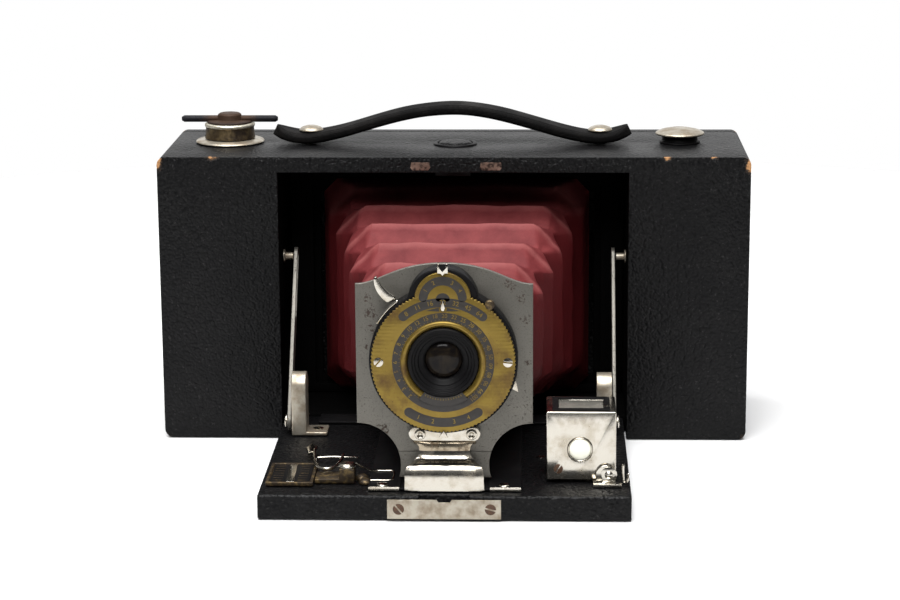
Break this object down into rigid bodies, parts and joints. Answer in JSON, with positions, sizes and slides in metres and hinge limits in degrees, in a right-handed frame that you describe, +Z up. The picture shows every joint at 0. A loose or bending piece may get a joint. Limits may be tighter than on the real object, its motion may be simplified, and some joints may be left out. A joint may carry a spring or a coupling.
{
  "type": "folding roll-film camera",
  "caption": "Antique folding-bed camera with drop bed, red bellows on a steel standard, round brass-faced shutter, finder, strap handle and winding key.",
  "frame": {"origin": "middle of the underside of the case, where the camera stands", "axes": "+X to the right of a viewer who faces the lens, +Y toward the back of the camera, +Z up; the lens looks along -Y"},
  "size_m": [0.171, 0.128, 0.096],
  "materials": {
    "leatherette": "fine pebbled leatherette over wood, worn to bare wood at the corners",
    "black_paint": "black lacquer, slightly worn",
    "nickel": "nickel plate, tarnished in places",
    "grey_steel": "dull plated steel with dark pits",
    "brass": "lacquered brass, tarnished",
    "strap_leather": "smooth dark leather, cracked at the bends",
    "bellows_leather": "thin dyed leather, faded on the folds",
    "glass": "clear",
    "red_window": "clear red",
    "mirror": "polished"
  },
  "bodies": {
    "case": {"case_shell": "leatherette", "film_gate": "black_paint", "bellows_rear_frame": "black_paint", "button_ring": "black_paint", "key_escutcheon": "nickel", "knob_collar": "black_paint", "spool_pin_left": "nickel", "spool_pin_right": "nickel", "strut_pin_left": "nickel", "strut_pin_right": "nickel", "handle_strap": "strap_leather", "handle_stud_left": "nickel", "handle_stud_right": "nickel", "bellows": "bellows_leather"},
    "release_button": {"release_button": "leatherette"},
    "bed_catch": {"bed_catch": "grey_steel"},
    "key_drive": {"key_clutch": "nickel"},
    "winding_key": {"winding_key": "grey_steel"},
    "takeup_spool": {"takeup_spool": "black_paint"},
    "spool_knob": {"spool_knob": "nickel"},
    "feed_spool": {"feed_spool": "black_paint"},
    "film_roller_left": {"film_roller_left": "nickel"},
    "film_roller_right": {"film_roller_right": "nickel"},
    "back": {"back_cover": "leatherette", "red_window": "red_window", "window_ring": "nickel"},
    "bed": {"bed_board": "leatherette", "hinge_leaf": "grey_steel", "latch_plate": "nickel", "track_plate": "black_paint", "focus_scale": "brass", "focus_stop": "brass", "strut_lug_left": "nickel", "strut_lug_right": "nickel", "finder_bracket": "nickel"},
    "focus_lock_lever": {"focus_lock_lever": "nickel"},
    "finder": {"finder_body": "nickel", "finder_lens": "glass", "finder_window": "glass", "finder_mirror": "mirror"},
    "strut_left": {"strut_left": "nickel"},
    "strut_right": {"strut_right": "nickel"},
    "standard_foot": {"standard_foot": "nickel"},
    "fold_link": {"shutter_air_cylinder": "brass"},
    "standard": {"front_plate": "grey_steel", "standard_clamp": "nickel", "shutter_case": "black_paint", "shutter_face": "brass", "front_cell": "black_paint", "front_lens": "glass", "rear_cell": "black_paint", "rear_lens": "glass"},
    "speed_pointer": {"speed_pointer": "nickel"},
    "aperture_pointer": {"aperture_pointer": "nickel"},
    "release_lever": {"release_lever": "nickel"},
    "shutter_blade": {"shutter_blade": "black_paint"}
  },
  "joints": [
    {"name": "bed_fold", "type": "hinge", "parent": "case", "child": "bed", "pos_m": [0, -0.025, 0], "axis": [1, 0, 0], "range_deg": [-90, 0], "deforming": ["bellows"]},
    {"name": "focus_slide", "type": "slide", "parent": "bed", "child": "standard_foot", "axis": [0, 1, 0], "range_m": [0, 0.0065], "deforming": ["bellows"]},
    {"name": "fold_retract", "type": "slide", "parent": "standard_foot", "child": "fold_link", "axis": [0, 0.5547, -0.8321], "range_m": [0, 0.047]},
    {"name": "fold_upright", "type": "hinge", "parent": "fold_link", "child": "standard", "pos_m": [0, -0.097, 0.054], "axis": [1, 0, 0], "range_deg": [0, 90]},
    {"name": "strut_fold_left", "type": "hinge", "parent": "bed", "child": "strut_left", "pos_m": [-0.0465, -0.043, 0.0104], "axis": [1, 0, 0], "range_deg": [0, 121.7]},
    {"name": "strut_fold_right", "type": "hinge", "parent": "bed", "child": "strut_right", "pos_m": [0.0465, -0.043, 0.0104], "axis": [1, 0, 0], "range_deg": [0, 121.7]},
    {"name": "release_press", "type": "slide", "parent": "case", "child": "release_button", "axis": [0, 0, -1], "range_m": [0, 0.001], "stiffness_N_per_m": 250},
    {"name": "catch_rock", "type": "hinge", "parent": "case", "child": "bed_catch", "pos_m": [0, -0.012, 0.0802], "axis": [1, 0, 0], "range_deg": [-6.2, 0]},
    {"name": "key_turn", "type": "hinge", "parent": "case", "child": "key_drive", "pos_m": [-0.0672, 0.001, 0.0775], "axis": [0, 0, 1], "continuous": true},
    {"name": "key_lift", "type": "slide", "parent": "key_drive", "child": "winding_key", "axis": [0, 0, 1], "range_m": [0, 0.004]},
    {"name": "takeup_turn", "type": "hinge", "parent": "case", "child": "takeup_spool", "pos_m": [-0.0672, 0.001, 0.0388], "axis": [0, 0, 1], "continuous": true},
    {"name": "knob_pull", "type": "slide", "parent": "case", "child": "spool_knob", "axis": [0, 0, 1], "range_m": [0, 0.004]},
    {"name": "feed_turn", "type": "hinge", "parent": "case", "child": "feed_spool", "pos_m": [0.0664, 0.001, 0.0388], "axis": [0, 0, 1], "continuous": true},
    {"name": "roller_turn_left", "type": "hinge", "parent": "case", "child": "film_roller_left", "pos_m": [-0.0565, 0.0127, 0.039], "axis": [0, 0, 1], "continuous": true},
    {"name": "roller_turn_right", "type": "hinge", "parent": "case", "child": "film_roller_right", "pos_m": [0.0565, 0.0127, 0.039], "axis": [0, 0, 1], "continuous": true},
    {"name": "back_removal", "type": "slide", "parent": "case", "child": "back", "axis": [0, 1, 0], "range_m": [0, 0.04]},
    {"name": "finder_swivel", "type": "hinge", "parent": "bed", "child": "finder", "pos_m": [0.0437, -0.082, 0.0096], "axis": [0, 1, 0], "range_deg": [0, 90]},
    {"name": "focus_lock_turn", "type": "hinge", "parent": "bed", "child": "focus_lock_lever", "pos_m": [-0.0326, -0.0862, 0.009], "axis": [0, 0, 1], "range_deg": [0, 5]},
    {"name": "speed_set", "type": "hinge", "parent": "standard", "child": "speed_pointer", "pos_m": [0, -0.101, 0.059], "axis": [0, 1, 0], "range_deg": [-55, 55]},
    {"name": "aperture_set", "type": "hinge", "parent": "standard", "child": "aperture_pointer", "pos_m": [0, -0.101, 0.0423], "axis": [0, 1, 0], "range_deg": [-33, 33]},
    {"name": "shutter_release", "type": "hinge", "parent": "standard", "child": "release_lever", "pos_m": [-0.0135, -0.097, 0.0587], "axis": [0, -1, 0], "range_deg": [0, 12], "stiffness_Nm_per_rad": 0.01},
    {"name": "blade_swing", "type": "hinge", "parent": "standard", "child": "shutter_blade", "pos_m": [-0.01, -0.0955, 0.0333], "axis": [0, 1, 0], "range_deg": [0, 50]}
  ],
  "couplings": [
    {"joint": "fold_retract", "follows": "bed_fold", "m_per_rad": -0.02984},
    {"joint": "fold_upright", "follows": "bed_fold", "ratio": -1},
    {"joint": "strut_fold_left", "follows": "bed_fold", "ratio": -1.3504},
    {"joint": "strut_fold_right", "follows": "bed_fold", "ratio": -1.3504},
    {"joint": "catch_rock", "follows": "release_press", "rad_per_m": -103},
    {"joint": "takeup_turn", "follows": "key_turn", "ratio": 1},
    {"joint": "blade_swing", "follows": "shutter_release", "ratio": 4.1666}
  ]
}
